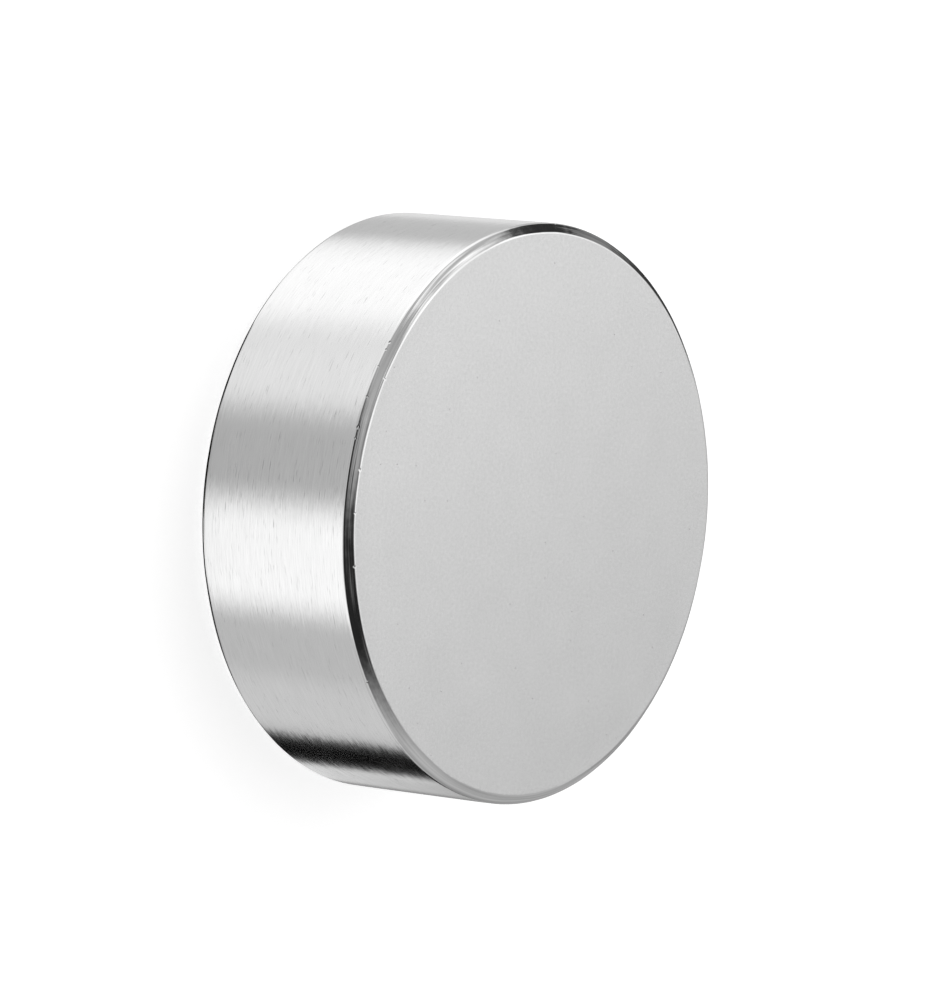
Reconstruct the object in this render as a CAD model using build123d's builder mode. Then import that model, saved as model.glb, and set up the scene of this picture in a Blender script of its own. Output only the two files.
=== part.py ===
"""Neodymium disc magnet: one sintered, ground and nickel plated cylinder, lying on one pole face.

Frame: origin at the centre of the lower pole face, +Z along the disc's axis, which is also the direction of
magnetisation. All sizes are in millimetres and include the plating.
"""

import os

from build123d import *

# Driving dimensions
diameter = 45.0
thickness = 15.0
chamfer_run = 0.70  # how far each bevel reaches in across its pole face
chamfer_rise = 0.53  # how far each bevel reaches along the ground wall
face_corner_round = 0.25  # tumbled round where a bevel meets a pole face
wall_corner_round = 0.18  # tumbled round where a bevel meets the wall

radius = diameter / 2
face_radius = radius - chamfer_run

# The disc is a revolved half section. Its outline runs from the axis out along the lower pole face, over the
# lower bevel, up the wall, over the upper bevel and back in to the axis. The bevels are ground before the disc
# is tumbled and plated, so each of their corners is a small round.
with BuildPart() as magnet:
    with BuildSketch(Plane.XZ):
        with BuildLine():
            FilletPolyline(
                (0, 0),
                (face_radius, 0),
                (radius, chamfer_rise),
                (radius, thickness - chamfer_rise),
                (face_radius, thickness),
                (0, thickness),
                radius=[face_corner_round, wall_corner_round, wall_corner_round, face_corner_round],
            )
            Line((0, thickness), (0, 0))
        make_face()
    revolve(axis=Axis.Z)

magnet.part.label = "magnet"
os.makedirs("parts", exist_ok=True)
export_step(magnet.part, "parts/magnet.step")
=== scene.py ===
"""Looks for a plain disc magnet: sintered, ground, bevelled, tumbled and bright nickel plated."""

import math

import bpy
import numpy as np
from mathutils import Matrix, Vector


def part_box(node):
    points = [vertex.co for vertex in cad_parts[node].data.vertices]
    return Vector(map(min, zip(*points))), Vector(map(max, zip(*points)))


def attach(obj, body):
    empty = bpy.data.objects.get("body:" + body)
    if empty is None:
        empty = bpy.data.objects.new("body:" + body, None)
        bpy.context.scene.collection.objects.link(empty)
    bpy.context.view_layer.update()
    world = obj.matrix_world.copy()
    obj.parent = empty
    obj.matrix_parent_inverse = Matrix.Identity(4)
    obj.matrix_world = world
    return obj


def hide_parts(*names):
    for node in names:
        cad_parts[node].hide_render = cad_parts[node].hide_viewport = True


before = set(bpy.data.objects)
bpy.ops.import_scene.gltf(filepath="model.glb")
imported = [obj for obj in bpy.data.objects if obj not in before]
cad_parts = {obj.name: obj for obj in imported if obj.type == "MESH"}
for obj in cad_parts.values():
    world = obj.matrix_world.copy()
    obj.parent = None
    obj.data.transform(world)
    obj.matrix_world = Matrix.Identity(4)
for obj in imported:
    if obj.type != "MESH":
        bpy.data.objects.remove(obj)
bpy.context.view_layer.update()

# -------------------------------------------------------------------------------------------------------
# The disc. One block of sintered neodymium-iron-boron, lapped flat on both pole faces, ground round on its
# wall, turned off to a bevel at both rims, tumbled, and plated all over with bright nickel. It lies on its
# lower pole face, and nothing is fixed to it.

MM = 0.001
disc_low, disc_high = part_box("magnet")
thickness = (disc_high.z - disc_low.z) / MM
radius = (disc_high.y - disc_low.y) / 2 / MM
bevel_run = 0.70
bevel_rise = 0.53
face_round = 0.25
wall_round = 0.28

# Rows go along the half section, from the middle of the wall to a pole face, and columns go round the disc.
wall_heights = np.array([0.0, 2.5, 4.4, 5.0, 5.6, 6.1, 6.5, 6.75])
face_insets = np.array([0.05, 0.15, 0.35, 0.7, 1.1, 1.6, 6.0, 14.0])
round_rows = 6
bevel_rows = 5
even_columns = 1120
columns_per_nick = 17


def rounded_corner(before, corner, after, fillet, rows):
    """An arc of the fillet's radius r that touches both runs of a corner: its centre lies on the corner's
    bisector, r over the sine of half the corner's angle away. From the first touching point it sets off
    towards the corner and turns evenly to the second: centre + start cos(t) + r ahead sin(t)."""
    first = (before - corner) / np.linalg.norm(before - corner)
    second = (after - corner) / np.linalg.norm(after - corner)
    half = math.acos(float(first @ second)) / 2
    centre = corner + (first + second) / np.linalg.norm(first + second) * fillet / math.sin(half)
    start = corner + first * fillet / math.tan(half) - centre
    turn = np.linspace(0, math.pi - 2 * half, rows)[:, None]
    return centre + start * np.cos(turn) - first * fillet * np.sin(turn)


def half_section():
    """The upper half of the disc's half section as rows of (distance from the axis, height above mid
    thickness): up the wall, round the wall corner, in along the bevel, round the face corner and in
    across the pole face. The second result is each row's band: 0 pole face, 1 bevel and its rounds, 2
    wall."""
    half = thickness / 2
    wall_point = np.array([radius, 0.0])
    wall_corner = np.array([radius, half - bevel_rise])
    face_corner = np.array([radius - bevel_run, half])
    face_point = np.array([0.0, half])
    lower_round = rounded_corner(wall_point, wall_corner, face_corner, wall_round, round_rows)
    upper_round = rounded_corner(wall_corner, face_corner, face_point, face_round, round_rows)
    share = np.linspace(0, 1, bevel_rows + 2)[1:-1, None]
    bevel = lower_round[-1] + (upper_round[0] - lower_round[-1]) * share
    wall = np.stack([np.full(len(wall_heights), radius), wall_heights], axis=1)
    inset = upper_round[-1][0] - face_insets
    face = np.stack([inset, np.full(len(inset), half)], axis=1)
    bands = np.repeat([2, 1, 0], [len(wall), len(bevel) + 2 * round_rows, len(face)])
    return np.concatenate([wall, lower_round, bevel, upper_round, face]), bands


def plating_build_up(outline, width, rise):
    """Plating grows a little thicker at the rim, so the pole face lies a hair lower than its rim. The
    drop goes from nothing at the rim to the full rise over the width, as 3s^2 - 2s^3."""
    inside = np.clip((radius - bevel_run - outline[:, 0]) / width, 0, 1)
    drop = rise * inside**2 * (3 - 2 * inside)
    flat = np.abs(outline[:, 1]) > thickness / 2 - 0.001
    outline[:, 1] -= np.where(flat, drop, 0) * np.sign(outline[:, 1])
    return outline


upper, upper_bands = half_section()
outline = np.concatenate([upper[:0:-1] * [1, -1], upper])
row_bands = np.concatenate([upper_bands[:0:-1], upper_bands])
build_up_width = 1.3
build_up = 0.003
outline = plating_build_up(outline, build_up_width, build_up)
run = np.concatenate([[0], np.cumsum(np.linalg.norm(np.diff(outline, axis=0), axis=1))])
ahead = np.gradient(outline, axis=0)
outward = np.stack([ahead[:, 1], -ahead[:, 0]], axis=1)
outward /= np.linalg.norm(outward, axis=1, keepdims=True)
middle_row = len(outline) // 2
wall_edge = middle_row + len(wall_heights) + round_rows // 2
face_edge = middle_row + len(wall_heights) + round_rows + bevel_rows + round_rows // 2

# The wall's roll-off towards each rim, and the waves round the disc that the bevel strays by.
roll_off = 0.022
roll_off_width = 3.1
ripple_waves = [9, 14, 23, 41, 67, 110, 190]
ripple_slope = 0.003

# Knocks from tumbling and handling: degrees round the disc from -Y towards +X, upper or lower rim, whether
# on the wall's or the face's edge, length and depth in millimetres.
nicks = [
    (-31.5, 1, wall_edge, 0.34, 0.060),
    (-29.8, 1, wall_edge, 0.22, 0.045),
    (-26.0, 1, wall_edge, 0.16, 0.035),
    (-24.2, 1, face_edge, 0.24, 0.030),
    (-19.5, 1, wall_edge, 0.18, 0.040),
    (-13.2, 1, wall_edge, 0.40, 0.050),
    (-11.0, 1, wall_edge, 0.20, 0.040),
    (-5.2, 1, face_edge, 0.36, 0.035),
    (3.4, 1, face_edge, 0.20, 0.030),
    (14.0, 1, face_edge, 0.32, 0.040),
    (38.0, 1, wall_edge, 0.20, 0.035),
    (77.0, 1, wall_edge, 0.26, 0.040),
    (118.0, 1, face_edge, 0.28, 0.035),
    (163.0, 1, wall_edge, 0.30, 0.050),
    (-142.0, 1, face_edge, 0.22, 0.035),
    (-88.0, 1, wall_edge, 0.24, 0.040),
    (22.0, -1, wall_edge, 0.30, 0.050),
    (-64.0, -1, wall_edge, 0.22, 0.040),
    (131.0, -1, wall_edge, 0.34, 0.050),
    (-155.0, -1, wall_edge, 0.24, 0.040),
]


def column_angles():
    """Even steps round the disc, with seventeen more columns across each nick."""
    even = np.linspace(-math.pi, math.pi, even_columns, endpoint=False)
    across = np.linspace(-0.6, 0.6, columns_per_nick)
    extra = np.array([math.radians(nick[0]) + across * nick[3] / radius for nick in nicks]).ravel()
    return np.unique(np.round(np.concatenate([even, extra]), 6))


angle = column_angles()
columns = len(angle)


def rim_ripple(angle, waves, slope, rng):
    """How far a hand-fed bevel strays: a sum of one cosine for each number of waves round the disc, each
    as high as gives the same slope, then lowered so that it never stands proud."""
    waves = np.array(waves)[:, None]
    phases = rng.uniform(0, 2 * math.pi, len(waves))[:, None]
    ripple = np.sum(slope * radius / waves * np.cos(waves * angle + phases), axis=0)
    return ripple - np.max(ripple)


def wear():
    """How far each point of the grid (rows by columns) lies behind the true section, in millimetres: the
    rim's ripple, full on the bevel and fading out over its rounds, then the wall's tumbled roll-off
    towards its rims, which grows with the square of the distance, and each nick, a dip of depth times (1
    - u^2 - v^2)^2, where u and v are the distances round and across the edge over half its size."""
    rng = np.random.default_rng(4)
    behind = np.zeros((len(outline), columns))
    steepness = np.abs(outward[:, 0] * outward[:, 1])
    on_bevel = (np.clip(steepness / np.max(steepness), 0, 1))[:, None]
    for side in (-1, 1):
        half = np.sign(outline[:, 1])[:, None] == side
        ripple = rim_ripple(angle, ripple_waves, ripple_slope, rng)
        behind -= np.where(half, on_bevel * ripple, 0)
    towards_rim = np.clip(1 - (thickness / 2 - np.abs(outline[:, 1])) / roll_off_width, 0, 1)
    behind += (roll_off * towards_rim**2 * outward[:, 0] ** 4)[:, None]
    for degrees, side, edge, length, depth in nicks:
        row = edge if side > 0 else len(outline) - 1 - edge
        round_edge = (angle - math.radians(degrees)) * radius / (length / 2)
        across_edge = (run - run[row]) / (0.05 + length / 6)
        dip = 1 - round_edge**2 - across_edge[:, None] ** 2
        behind += depth * np.clip(dip, 0, 1) ** 2
    return behind


depth = wear()
reach = outline[:, :1] - outward[:, :1] * depth
height = outline[:, 1:] - outward[:, 1:] * depth + thickness / 2
grid = np.stack([reach * np.sin(angle), -reach * np.cos(angle), height], axis=-1)
centre_low = [0.0, 0.0, height[0, 0]]
centre_high = [0.0, 0.0, height[-1, 0]]
points = np.concatenate([grid.reshape(-1, 3), [centre_low, centre_high]]) * MM

rows = len(outline)
row, column = np.meshgrid(np.arange(rows - 1) * columns, np.arange(columns), indexing="ij")
following = (column + 1) % columns
quads = np.stack([row + column, row + following, row + columns + following, row + columns + column], axis=-1)
ring = np.arange(columns)
next_ring = (ring + 1) % columns
top_row = (rows - 1) * columns
bottom_fan = np.stack([next_ring, ring, np.full(columns, rows * columns)], axis=-1)
top_fan = np.stack([top_row + ring, top_row + next_ring, np.full(columns, rows * columns + 1)], axis=-1)
disc_mesh = bpy.data.meshes.new("plated_disc")
faces = quads.reshape(-1, 4).tolist() + bottom_fan.tolist() + top_fan.tolist()
disc_mesh.from_pydata(points.tolist(), [], faces)
disc_mesh.shade_smooth()
wider_band = np.maximum(row_bands[:-1], row_bands[1:])
quad_bands = np.where(row_bands[:-1] != row_bands[1:], np.minimum(wider_band, 1), wider_band)
face_bands = np.concatenate([np.repeat(quad_bands, columns), np.zeros(2 * columns, dtype=int)])
disc_mesh.polygons.foreach_set("material_index", face_bands.astype(np.int32))
disc_mesh.update()
plated_disc = bpy.data.objects.new("plated_disc", disc_mesh)
bpy.context.scene.collection.objects.link(plated_disc)


def add(tree, kind, inputs=None, **settings):
    """Adds a node: its settings first, then its sockets, each a plain value or another node's output."""
    node = tree.nodes.new(kind)
    for name, value in settings.items():
        setattr(node, name, value)
    for socket, value in (inputs or {}).items():
        if isinstance(value, bpy.types.NodeSocket):
            tree.links.new(value, node.inputs[socket])
        else:
            node.inputs[socket].default_value = value
    return node


def math_node(tree, operation, *values, clamp=False):
    """One Math node's result."""
    node = add(tree, "ShaderNodeMath", dict(enumerate(values)), operation=operation, use_clamp=clamp)
    return node.outputs[0]


def new_group(name, inputs, outputs):
    """An empty node group with named inputs and outputs, given as pairs of a name and a kind of socket."""
    group = bpy.data.node_groups.new(name, "ShaderNodeTree")
    for direction, sockets in (("INPUT", inputs), ("OUTPUT", outputs)):
        for socket, kind in sockets:
            group.interface.new_socket(socket, in_out=direction, socket_type="NodeSocket" + kind)
    return group, add(group, "NodeGroupInput").outputs, add(group, "NodeGroupOutput").inputs


def make_leaning_normal():
    """Leans the surface's normal by two small slopes: Along, round the disc's axis, and Across, along its
    half section. The new normal is the old one plus each direction times its slope, turned to the
    world."""
    group, given, result = new_group(
        "leaning_normal", [("Along", "Float"), ("Across", "Float")], [("Normal", "Vector")])
    place = add(group, "ShaderNodeTexCoord").outputs
    round_axis = add(group, "ShaderNodeVectorMath", {0: (0, 0, 1), 1: place["Object"]},
                     operation="CROSS_PRODUCT")
    along = add(group, "ShaderNodeVectorMath", {0: round_axis.outputs[0]}, operation="NORMALIZE").outputs[0]
    across = add(group, "ShaderNodeVectorMath", {0: place["Normal"], 1: along},
                 operation="CROSS_PRODUCT").outputs[0]
    normal = place["Normal"]
    for direction, slope in ((along, given["Along"]), (across, given["Across"])):
        lean = add(group, "ShaderNodeVectorMath", {0: direction, "Scale": slope}, operation="SCALE")
        leant = add(group, "ShaderNodeVectorMath", {0: normal, 1: lean.outputs[0]}, operation="ADD")
        normal = leant.outputs[0]
    to_world = add(group, "ShaderNodeVectorTransform", {0: normal}, vector_type="NORMAL",
                   convert_from="OBJECT", convert_to="WORLD")
    group.links.new(to_world.outputs[0], result["Normal"])
    return group


def make_drawn_noise():
    """Noise about zero, drawn out round the disc: Length round it and Width along its axis, in metres."""
    group, given, result = new_group(
        "drawn_noise", [("Length", "Float"), ("Width", "Float"), ("Seed", "Float"), ("Detail", "Float")],
        [("Noise", "Float")])
    place = add(group, "ShaderNodeTexCoord").outputs["Object"]
    size = add(group, "ShaderNodeCombineXYZ", {0: given["Length"], 1: given["Length"], 2: given["Width"]})
    drawn = add(group, "ShaderNodeVectorMath", {0: place, 1: size.outputs[0]}, operation="DIVIDE")
    noise = add(group, "ShaderNodeTexNoise", {"Vector": drawn.outputs[0], "W": given["Seed"], "Scale": 1.0,
                                              "Detail": given["Detail"]}, noise_dimensions="4D")
    group.links.new(math_node(group, "SUBTRACT", noise.outputs["Fac"], 0.5), result["Noise"])
    return group


def make_plating_tone():
    """The small unevenness of a plated surface, for the base colour and the roughness: each is its even
    value times one plus its share of a cloudy noise, and a Darkening, such as a dark speck or the painted
    shade of a line or a scratch, dims the colour and roughens it."""
    group, given, result = new_group(
        "plating_tone", [("Even Color", "Color"), ("Even Roughness", "Float"), ("Cloud Size", "Float"),
                         ("Color Share", "Float"), ("Roughness Share", "Float"), ("Darkening", "Float")],
        [("Color", "Color"), ("Roughness", "Float")])
    place = add(group, "ShaderNodeTexCoord").outputs["Object"]
    scale = math_node(group, "DIVIDE", 1.0, given["Cloud Size"])
    cloud = add(group, "ShaderNodeTexNoise", {"Vector": place, "Scale": scale, "Detail": 4.0})
    about_zero = math_node(group, "SUBTRACT", cloud.outputs["Fac"], 0.5)
    lift = math_node(group, "MULTIPLY_ADD", about_zero, given["Color Share"], 1.0)
    lift = math_node(group, "MULTIPLY_ADD", given["Darkening"], -0.35, lift)
    color = add(group, "ShaderNodeVectorMath", {0: given["Even Color"], "Scale": lift}, operation="SCALE")
    swing = math_node(group, "MULTIPLY_ADD", about_zero, given["Roughness Share"], 1.0)
    swing = math_node(group, "MULTIPLY_ADD", given["Darkening"], 0.8, swing)
    group.links.new(color.outputs[0], result["Color"])
    group.links.new(math_node(group, "MULTIPLY", given["Even Roughness"], swing), result["Roughness"])
    return group


leaning_normal = make_leaning_normal()
drawn_noise = make_drawn_noise()
plating_tone = make_plating_tone()
nickel = (0.75, 0.75, 0.75, 1.0)


def drawn(tree, length, width, seed, detail=2.0):
    """The drawn_noise group's result for sizes in millimetres."""
    sizes = {"Length": length * MM, "Width": width * MM, "Seed": seed, "Detail": detail}
    return add(tree, "ShaderNodeGroup", sizes, node_tree=drawn_noise).outputs["Noise"]


def plated_material(name, tone, along, across, **plain):
    """A nickel material: the plating's tone, the normal leant by two slopes, and plain values on the
    shader. The slopes are functions of the node tree, each of which gives a socket."""
    material = bpy.data.materials.new(name)
    material.use_nodes = True
    tree = material.node_tree
    tree.nodes.clear()
    tones = {"Even Color": nickel, **tone(tree)}
    toned = add(tree, "ShaderNodeGroup", tones, node_tree=plating_tone).outputs
    slopes = {"Along": along(tree), "Across": across(tree)}
    leant = add(tree, "ShaderNodeGroup", slopes, node_tree=leaning_normal)
    shader = add(tree, "ShaderNodeBsdfPrincipled", {
        "Base Color": toned["Color"],
        "Roughness": toned["Roughness"],
        "Metallic": 1.0,
        "Normal": leant.outputs["Normal"],
        **plain,
    })
    add(tree, "ShaderNodeOutputMaterial", {"Surface": shader.outputs[0]})
    return material, tree, shader


def face_specks(tree):
    """Pinpoint dark specks: the few cells of a flat Voronoi pattern whose random colour is high, each as a
    dot round its point."""
    place = add(tree, "ShaderNodeTexCoord").outputs["Object"]
    cells = add(tree, "ShaderNodeTexVoronoi", {"Vector": place, "Scale": 1 / (2.4 * MM)},
                voronoi_dimensions="2D").outputs
    lot = add(tree, "ShaderNodeSeparateXYZ", {0: cells["Color"]}).outputs[0]
    chosen = math_node(tree, "GREATER_THAN", lot, 0.84)
    dot = math_node(tree, "LESS_THAN", cells["Distance"], 0.024)
    return math_node(tree, "MULTIPLY", chosen, dot)


def face_tone(tree):
    """A satin face with faint clouds 4 mm across, a mottle 0.3 mm across, and specks."""
    mottled = math_node(tree, "MULTIPLY_ADD", drawn(tree, 0.3, 0.3, 21.0), 0.4, face_specks(tree))
    return {"Even Roughness": 0.22, "Cloud Size": 4 * MM, "Color Share": 0.03, "Roughness Share": 0.25,
            "Darkening": mottled}


def face_lean(seed):
    """The lapped grain, 0.15 mm across, over a slow waviness 3 mm across."""
    def slope(tree):
        grain = math_node(tree, "MULTIPLY", drawn(tree, 0.15, 0.15, seed), 0.05)
        return math_node(tree, "MULTIPLY_ADD", drawn(tree, 3.0, 3.0, seed + 7.0), 0.008, grain)
    return slope


pole_face_nickel, _, _ = plated_material("pole_face_nickel", face_tone, face_lean(1.0), face_lean(2.0))


def bevel_tone(tree):
    """A bright bevel, hazier along the deeper turned lines, painted darker along them and lighter between
    them as painted light and shade of the lines.
    """
    # Painted light and shade: the colour follows the turned lines, standing in for the bright and dark
    # reflections of their facets.
    lines = math_node(tree, "MULTIPLY", drawn(tree, 14.0, 0.16, 14.0, 1.0), 3.0)
    return {"Even Roughness": 0.12, "Cloud Size": 1.2 * MM, "Color Share": 0.06, "Roughness Share": 0.5,
            "Darkening": lines}


def bevel_lines(tree):
    """Lines from the bevelling wheel: a coarse set 0.2 mm apart and a fine one, both long round the rim."""
    coarse = math_node(tree, "MULTIPLY", drawn(tree, 9.0, 0.13, 3.0, 1.0), 0.6)
    return math_node(tree, "MULTIPLY_ADD", drawn(tree, 5.0, 0.045, 4.0), 0.30, coarse)


def bevel_chatter(tree):
    """The wheel's faint chatter round the rim."""
    return math_node(tree, "MULTIPLY", drawn(tree, 0.6, 0.3, 6.0), 0.08)


bevel_nickel, _, _ = plated_material("bevel_nickel", bevel_tone, bevel_chatter, bevel_lines)


def wall_tone(tree):
    """A bright wall with faint clouds, under fine lines of painted light and shade, lighter and darker as
    fine scratches would look, and a few dark hair-thin lines of painted shade where a thin noise peaks."""
    # Painted light and shade: the fine lines lighten and dim the colour the way light caught by fine
    # scratches would.
    lines = math_node(tree, "MULTIPLY", drawn(tree, 2.2, 0.07, 12.0, 3.0), 0.6)
    # Painted shade: a few scratches painted as dark hair-thin lines.
    peak = math_node(tree, "SUBTRACT", drawn(tree, 1.1, 0.045, 9.0, 0.0), 0.225)
    hairline_shade = math_node(tree, "MULTIPLY", peak, 12.0, clamp=True)
    return {"Even Roughness": 0.14, "Cloud Size": 3 * MM, "Color Share": 0.05, "Roughness Share": 0.3,
            "Darkening": math_node(tree, "ADD", lines, hairline_shade)}


def wall_streaks(tree):
    """Grinding streaks: they lean the light round the disc, in dashes 1.2 mm long, with finer ones on
    them."""
    fine = math_node(tree, "MULTIPLY", drawn(tree, 0.5, 0.05, 11.0), 0.06)
    return math_node(tree, "MULTIPLY_ADD", drawn(tree, 1.2, 0.11, 5.0), 0.055, fine)


def wall_waves(tree):
    """Slight waviness along the axis."""
    return math_node(tree, "MULTIPLY", drawn(tree, 2.5, 0.16, 8.0), 0.05)


ground_wall_nickel, tree, shader = plated_material(
    "ground_wall_nickel", wall_tone, wall_streaks, wall_waves,
    **{"Anisotropic": 0.4, "Anisotropic Rotation": 0.25})
tangent = add(tree, "ShaderNodeTangent", direction_type="RADIAL", axis="Z")
tree.links.new(tangent.outputs[0], shader.inputs["Tangent"])

for material in (pole_face_nickel, bevel_nickel, ground_wall_nickel):
    disc_mesh.materials.append(material)

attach(plated_disc, "root")
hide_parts("magnet")

# -------------------------------------------------------------------------------------------------------
# The floor. A plain white sheet that keeps the disc's shadow. The disc stands on it, but doesn't mirror it:
# its metal mirrors the light tent, as it would when held up in one.

floor_reach = 3.0
floor_mesh = bpy.data.meshes.new("floor")
corners = [(-1, -1), (1, -1), (1, 1), (-1, 1)]
floor_mesh.from_pydata([(x * floor_reach, y * floor_reach, 0) for x, y in corners], [], [(0, 1, 2, 3)])
floor = bpy.data.objects.new("floor", floor_mesh)
bpy.context.scene.collection.objects.link(floor)
white_floor = bpy.data.materials.new("white_floor")
white_floor.use_nodes = True
tree = white_floor.node_tree
tree.nodes.clear()
paint = add(tree, "ShaderNodeBsdfDiffuse", {"Color": (0.8, 0.8, 0.8, 1)})
path = add(tree, "ShaderNodeLightPath").outputs
shown = math_node(tree, "MAXIMUM", path["Is Camera Ray"], path["Is Glossy Ray"])
shown = math_node(tree, "MAXIMUM", shown, path["Is Transmission Ray"])
glow = add(tree, "ShaderNodeEmission", {"Strength": math_node(tree, "MULTIPLY", shown, 0.72)})
white = add(tree, "ShaderNodeAddShader", {0: paint.outputs[0], 1: glow.outputs[0]})
add(tree, "ShaderNodeOutputMaterial", {"Surface": white.outputs[0]})
floor_mesh.materials.append(white_floor)
floor.visible_glossy = False

# -------------------------------------------------------------------------------------------------------
# The light tent. A tent of white cloth, lit from outside, with softboxes on it and black cards hung in it,
# so that the plain metal has both light and dark to mirror. Angles are in degrees: azimuth from -Y towards
# +X.


def fading(tree, beyond, softness):
    """One inside a card, falling smoothly to nothing at the softness beyond its edge."""
    share = math_node(tree, "DIVIDE", beyond, softness)
    return add(tree, "ShaderNodeMapRange", {"Value": share, "From Min": 0.0, "From Max": 1.0, "To Min": 1.0,
                                            "To Max": 0.0}, interpolation_type="SMOOTHSTEP").outputs[0]


def make_upright_card():
    """An upright card or gap of the tent, laid over what is Behind it: Half Width and Half Height about its
    middle, in azimuth and elevation, with soft sides and ends."""
    names = ("Azimuth", "Elevation", "Behind", "Middle Azimuth", "Middle Elevation", "Half Width",
             "Half Height", "Side Softness", "End Softness", "Level")
    sockets = [(name, "Float") for name in names]
    group, given, result = new_group("upright_card", sockets, [("Light", "Float")])
    turn = math_node(group, "SUBTRACT", given["Azimuth"], given["Middle Azimuth"])
    turn = math_node(group, "ABSOLUTE", math_node(group, "WRAP", turn, 180.0, -180.0))
    lift = math_node(group, "SUBTRACT", given["Elevation"], given["Middle Elevation"])
    lift = math_node(group, "ABSOLUTE", lift)
    sides = fading(group, math_node(group, "SUBTRACT", turn, given["Half Width"]), given["Side Softness"])
    ends = fading(group, math_node(group, "SUBTRACT", lift, given["Half Height"]), given["End Softness"])
    mask = math_node(group, "MULTIPLY", sides, ends)
    step = math_node(group, "SUBTRACT", given["Level"], given["Behind"])
    group.links.new(math_node(group, "MULTIPLY_ADD", step, mask, given["Behind"]), result["Light"])
    return group


def make_round_card():
    """A round card or lamp of the tent, laid over what is Behind it: full Level within its Reach of the
    direction Towards it, and gone at its Fade, both in degrees."""
    names = ("Behind", "Reach", "Fade", "Level")
    sockets = [("Looking", "Vector"), ("Towards", "Vector")] + [(name, "Float") for name in names]
    group, given, result = new_group("round_card", sockets, [("Light", "Float")])
    along = add(group, "ShaderNodeVectorMath", {0: given["Looking"], 1: given["Towards"]},
                operation="DOT_PRODUCT").outputs["Value"]
    away = math_node(group, "DEGREES", math_node(group, "ARCCOSINE", along))
    beyond = math_node(group, "SUBTRACT", away, given["Reach"])
    mask = fading(group, beyond, math_node(group, "SUBTRACT", given["Fade"], given["Reach"]))
    step = math_node(group, "SUBTRACT", given["Level"], given["Behind"])
    group.links.new(math_node(group, "MULTIPLY_ADD", step, mask, given["Behind"]), result["Light"])
    return group


def towards(azimuth, elevation):
    """The unit vector that points that way."""
    level = math.cos(math.radians(elevation))
    return (level * math.sin(math.radians(azimuth)), -level * math.cos(math.radians(azimuth)),
            math.sin(math.radians(elevation)))


tent = bpy.data.worlds.new("light_tent")
bpy.context.scene.world = tent
tent.use_nodes = True
tree = tent.node_tree
tree.nodes.clear()
looking = add(tree, "ShaderNodeTexCoord").outputs["Generated"]
parts = add(tree, "ShaderNodeSeparateXYZ", {0: looking}).outputs
minus_y = math_node(tree, "MULTIPLY", parts["Y"], -1.0)
azimuth = math_node(tree, "DEGREES", math_node(tree, "ARCTAN2", parts["X"], minus_y))
elevation = math_node(tree, "DEGREES", math_node(tree, "ARCSINE", parts["Z"]))
upright_card = make_upright_card()
round_card = make_round_card()

light = 0.66  # the cloth itself

# Cards below the disc's rim: middle azimuth and elevation, half width and height, side and end softness,
# level.
for card in [
    (-94, -45, 10, 51, 40, 10, 1.30),
    (-48, -52, 6, 44, 22, 10, 1.02),
    (-12, -52, 8, 44, 16, 10, 0.58),
    (28, -52, 12, 44, 19, 10, 1.30),
    (66, -52, 6, 44, 12, 10, 0.64),
    (96, -52, 8, 44, 14, 10, 0.74),
    (127, -52, 9, 44, 6, 10, 0.0),
    (154, -52, 9, 44, 6, 8, 0.95),
    (154, -8, 8, 30, 6, 3, 0.48),
    (-172, -52, 12, 44, 8, 8, 0.84),
    (173, -38, 7, 34, 6, 8, 0.30),
    (-138, -52, 6, 44, 12, 10, 0.62),
    # and above it
    (-62, 45, 24, 26, 20, 14, 0.46),
    (140, 20, 36, 34, 18, 16, 0.48),
    (10, 40, 36, 18, 28, 12, 0.03),
]:
    names = ("Middle Azimuth", "Middle Elevation", "Half Width", "Half Height", "Side Softness",
             "End Softness", "Level")
    sockets = {"Azimuth": azimuth, "Elevation": elevation, "Behind": light, **dict(zip(names, card))}
    light = add(tree, "ShaderNodeGroup", sockets, node_tree=upright_card).outputs["Light"]

# Round ones: azimuth and elevation of the middle, reach, fade and level.
for card in [
    (52, 55, 12, 48, 0.02),
    (-142, 56, 21, 36, 1.36),
    (-137, 12, 10, 19, 0.03),
    (-153, -4, 8, 16, 0.24),
    (-166, -18, 9, 17, 0.04),
    (10, -86, 35, 44, 0.0),
]:
    sockets = {"Looking": looking, "Towards": towards(card[0], card[1]), "Behind": light, "Reach": card[2],
               "Fade": card[3], "Level": card[4]}
    light = add(tree, "ShaderNodeGroup", sockets, node_tree=round_card).outputs["Light"]

path = add(tree, "ShaderNodeLightPath").outputs
seen = add(tree, "ShaderNodeMix", {0: path["Is Camera Ray"], 2: light, 3: 1.0}, data_type="FLOAT")
sky = add(tree, "ShaderNodeBackground", {"Color": (1, 1, 1, 1), "Strength": seen.outputs[0]})
add(tree, "ShaderNodeOutputWorld", {"Surface": sky.outputs[0]})

# -------------------------------------------------------------------------------------------------------
# The camera. It looks down on the disc from the -Y side, and is rolled so that the disc seems to stand on
# its wall with its upper pole face turned to the right.

camera_place = Vector((0.0, -441.9, 363.9)) * MM
camera_aim = Vector((-0.55, 0.29, 7.45)) * MM
camera_roll = math.radians(95.87)
lens = bpy.data.cameras.new("camera")
lens.lens = 263.3
lens.sensor_width = 36.0
lens.clip_start = 0.01
lens.clip_end = 10.0
camera = bpy.data.objects.new("camera", lens)
bpy.context.scene.collection.objects.link(camera)
facing = (camera_aim - camera_place).to_track_quat("-Z", "Y").to_matrix().to_4x4()
camera.matrix_world = Matrix.Translation(camera_place) @ facing @ Matrix.Rotation(camera_roll, 4, "Z")
bpy.context.scene.camera = camera
bpy.context.scene.view_settings.view_transform = "Standard"
